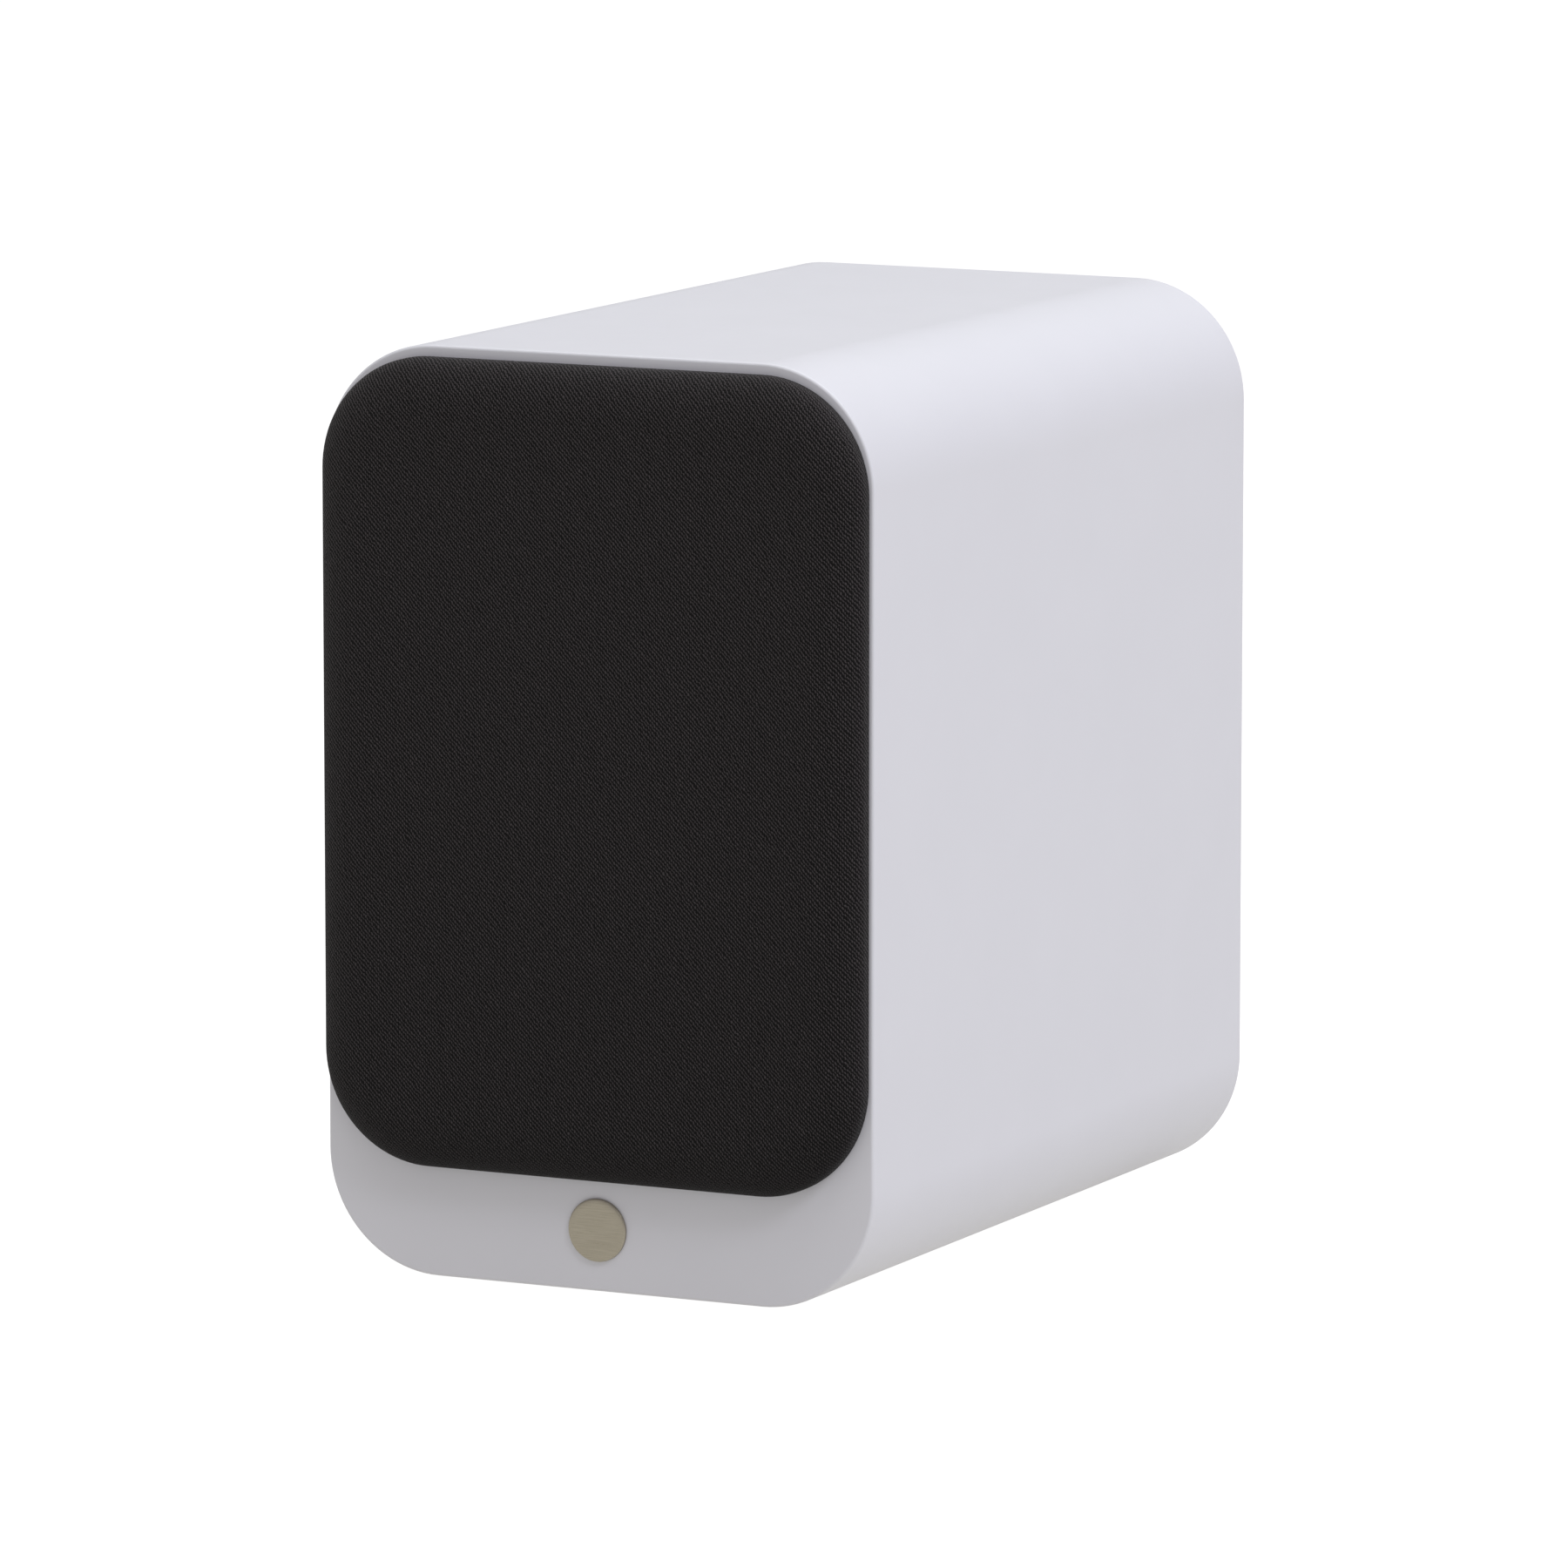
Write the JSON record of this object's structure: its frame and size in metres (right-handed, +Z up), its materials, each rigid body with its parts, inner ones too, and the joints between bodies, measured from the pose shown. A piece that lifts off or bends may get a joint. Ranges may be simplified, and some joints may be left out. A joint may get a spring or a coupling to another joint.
{
  "type": "bookshelf speaker",
  "caption": "Two-way bookshelf speaker: white cabinet with rounded corners, pull-off charcoal cloth grille, round badge, rear port and screw terminals.",
  "frame": {"origin": "middle of the footprint, on the surface that the feet stand on", "axes": "+Z up, the grille faces -Y, the terminals face +Y, +X to the right of someone looking at the grille"},
  "size_m": [0.1832, 0.28, 0.286],
  "materials": {
    "white_lacquer": "satin white lacquer over fibreboard",
    "black_board": "matt black finish on fibreboard",
    "raw_board": "raw fibreboard",
    "grille_fabric": "woven charcoal cloth",
    "black_plastic": "fine moulded texture",
    "foot_rubber": "matt",
    "badge_metal": "brushed, warm nickel tone",
    "steel": "zinc plated",
    "black_screw": "blackened",
    "ferrite": "ground ferrite",
    "cone_paper": "coated pulp",
    "dome_silk": "coated silk",
    "spider_cloth": "resin-treated weave",
    "surround_rubber": "butyl, low sheen",
    "copper_wire": "enamelled winding",
    "brass": "gold flash",
    "red_plastic": "clear-toned",
    "circuit_board": "solder mask",
    "resistor_ceramic": "unglazed",
    "film_capacitor": "wrapped film",
    "wadding_fibre": "polyester fibre",
    "cable_jacket": "flexible"
  },
  "bodies": {
    "cabinet": {"cabinet_shell": "white_lacquer", "front_baffle": "black_board", "rear_panel": "black_board", "window_brace": "raw_board", "wadding": "wadding_fibre", "badge": "badge_metal", "foot_front_left": "foot_rubber", "foot_front_right": "foot_rubber", "foot_rear_left": "foot_rubber", "foot_rear_right": "foot_rubber", "baffle_magnet_top_left": "steel", "baffle_magnet_top_right": "steel", "baffle_magnet_bottom_left": "steel", "baffle_magnet_bottom_right": "steel", "woofer_basket": "black_screw", "woofer_trim_ring": "black_plastic", "woofer_surround": "surround_rubber", "woofer_spider": "spider_cloth", "woofer_top_plate": "steel", "woofer_magnet": "ferrite", "woofer_yoke": "steel", "woofer_screw_1": "black_screw", "woofer_screw_2": "black_screw", "woofer_screw_3": "black_screw", "woofer_screw_4": "black_screw", "tweeter_faceplate": "black_plastic", "tweeter_surround": "surround_rubber", "tweeter_pole_plate": "steel", "tweeter_magnet": "steel", "tweeter_yoke": "steel", "tweeter_screw_1": "black_screw", "tweeter_screw_2": "black_screw", "tweeter_screw_3": "black_screw", "port_tube": "black_plastic", "terminal_cup": "black_plastic", "terminal_screw_top_left": "black_screw", "terminal_screw_top_right": "black_screw", "terminal_screw_bottom_left": "black_screw", "terminal_screw_bottom_right": "black_screw", "post_stud_red": "brass", "post_stud_black": "brass", "crossover_board": "circuit_board", "crossover_inductor": "copper_wire", "crossover_capacitor": "film_capacitor", "crossover_resistor": "resistor_ceramic", "woofer_lead": "cable_jacket", "tweeter_lead": "cable_jacket"},
    "grille": {"grille_frame": "black_plastic", "grille_cloth": "grille_fabric", "grille_strip_top": "steel", "grille_strip_bottom": "steel"},
    "woofer_moving": {"woofer_cone": "cone_paper", "woofer_dust_cap": "cone_paper", "woofer_voice_coil": "copper_wire"},
    "tweeter_moving": {"tweeter_dome": "dome_silk", "tweeter_voice_coil": "copper_wire"},
    "red_washer": {"post_washer_red": "brass"},
    "red_knob": {"post_knob_red": "red_plastic"},
    "black_washer": {"post_washer_black": "brass"},
    "black_knob": {"post_knob_black": "black_plastic"}
  },
  "joints": [
    {"name": "grille_pull", "type": "slide", "parent": "cabinet", "child": "grille", "axis": [0, -1, 0], "range_m": [0, 0.06]},
    {"name": "woofer_stroke", "type": "slide", "parent": "cabinet", "child": "woofer_moving", "axis": [0, -1, 0], "range_m": [-0.004, 0.004], "stiffness_N_per_m": 1100, "deforming": ["woofer_surround", "woofer_spider"]},
    {"name": "tweeter_stroke", "type": "slide", "parent": "cabinet", "child": "tweeter_moving", "axis": [0, -1, 0], "range_m": [-0.0004, 0.0004], "stiffness_N_per_m": 150, "deforming": ["tweeter_surround"]},
    {"name": "red_washer_travel", "type": "slide", "parent": "cabinet", "child": "red_washer", "axis": [0, 1, 0], "range_m": [0, 0.0036]},
    {"name": "red_knob_turn", "type": "hinge", "parent": "red_washer", "child": "red_knob", "pos_m": [0.0095, 0.1275, 0.08], "axis": [0, 1, 0], "range_deg": [0, 1260]},
    {"name": "black_washer_travel", "type": "slide", "parent": "cabinet", "child": "black_washer", "axis": [0, 1, 0], "range_m": [0, 0.0036]},
    {"name": "black_knob_turn", "type": "hinge", "parent": "black_washer", "child": "black_knob", "pos_m": [-0.0095, 0.1275, 0.08], "axis": [0, 1, 0], "range_deg": [0, 1260]}
  ],
  "couplings": [
    {"joint": "red_washer_travel", "follows": "red_knob_turn", "m_per_rad": 0.00015915},
    {"joint": "black_washer_travel", "follows": "black_knob_turn", "m_per_rad": 0.00015915}
  ]
}
